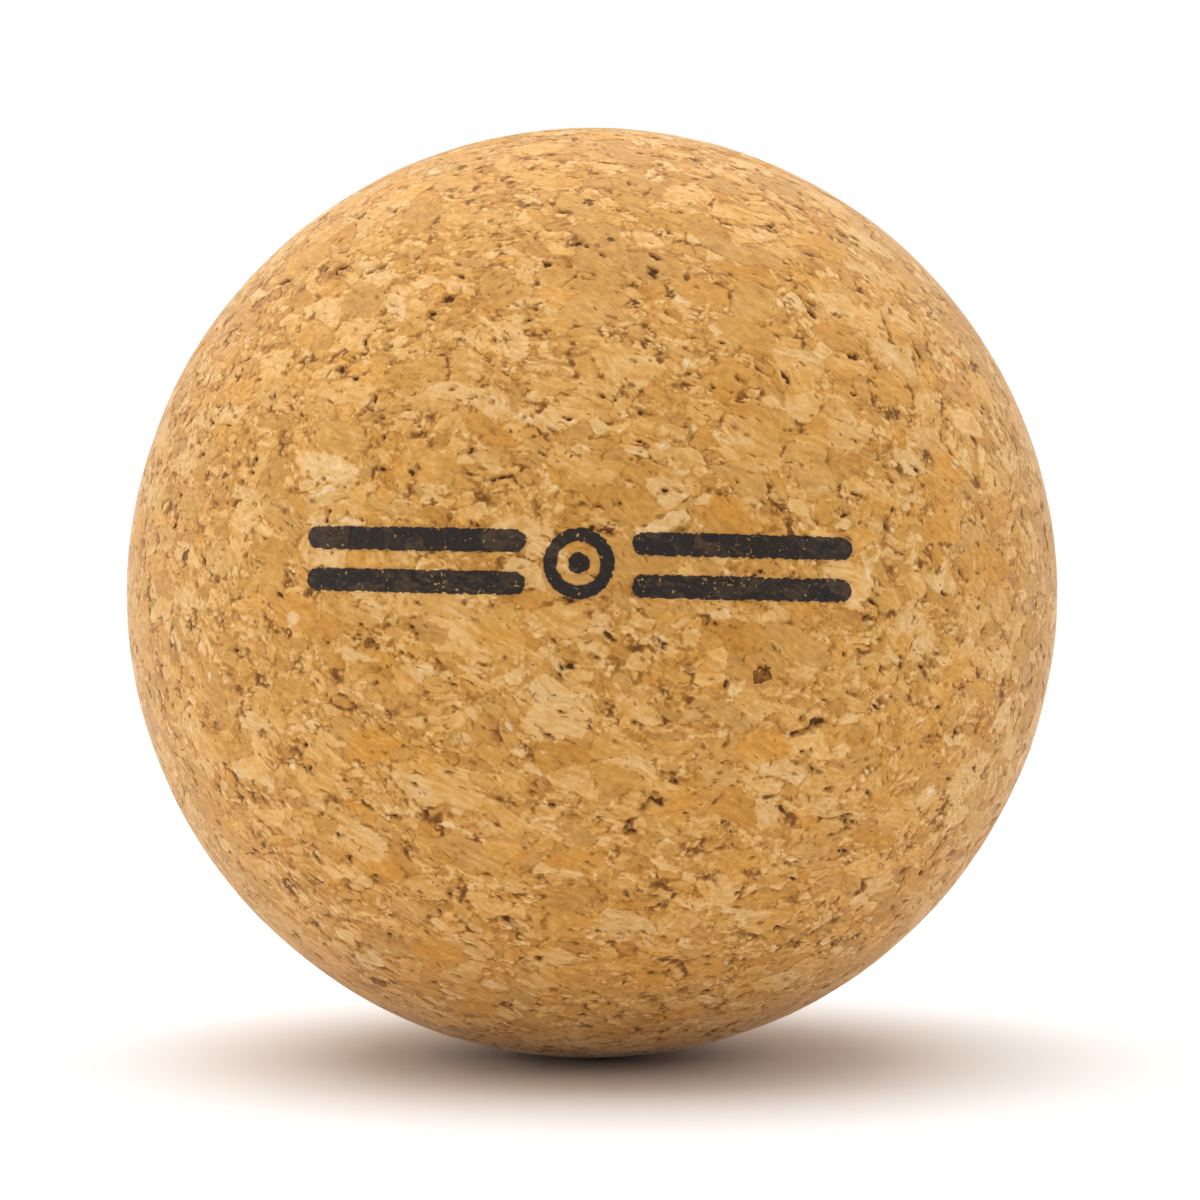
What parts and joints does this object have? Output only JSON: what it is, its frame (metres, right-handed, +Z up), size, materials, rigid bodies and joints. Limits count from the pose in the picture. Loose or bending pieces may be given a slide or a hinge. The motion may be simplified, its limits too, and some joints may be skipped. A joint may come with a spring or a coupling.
{
  "type": "massage ball",
  "caption": "Solid ball of pressed cork granules with dark bark flecks and a small plain printed mark, used to roll and massage muscles.",
  "frame": {"origin": "the centre of the ball", "axes": "+Z up, along the direction the cork block was pressed in, so granules lie level; the printed mark faces -Y; +X to its right as seen from the front"},
  "size_m": [0.065, 0.065, 0.065],
  "materials": {
    "cork_body": "matte, fine bonded cork",
    "pale_granules": "matte, pale cork",
    "golden_granules": "matte, golden cork",
    "amber_granules": "matte, amber cork",
    "umber_granules": "matte, grey-brown cork",
    "bark_chips": "matte, dark bark",
    "printed_mark": "matt black printing ink, worn"
  },
  "bodies": {
    "root": {"cork_body": "cork_body", "pale_granules": "pale_granules", "golden_granules": "golden_granules", "amber_granules": "amber_granules", "umber_granules": "umber_granules", "bark_chips": "bark_chips", "printed_mark": "printed_mark"}
  },
  "joints": []
}
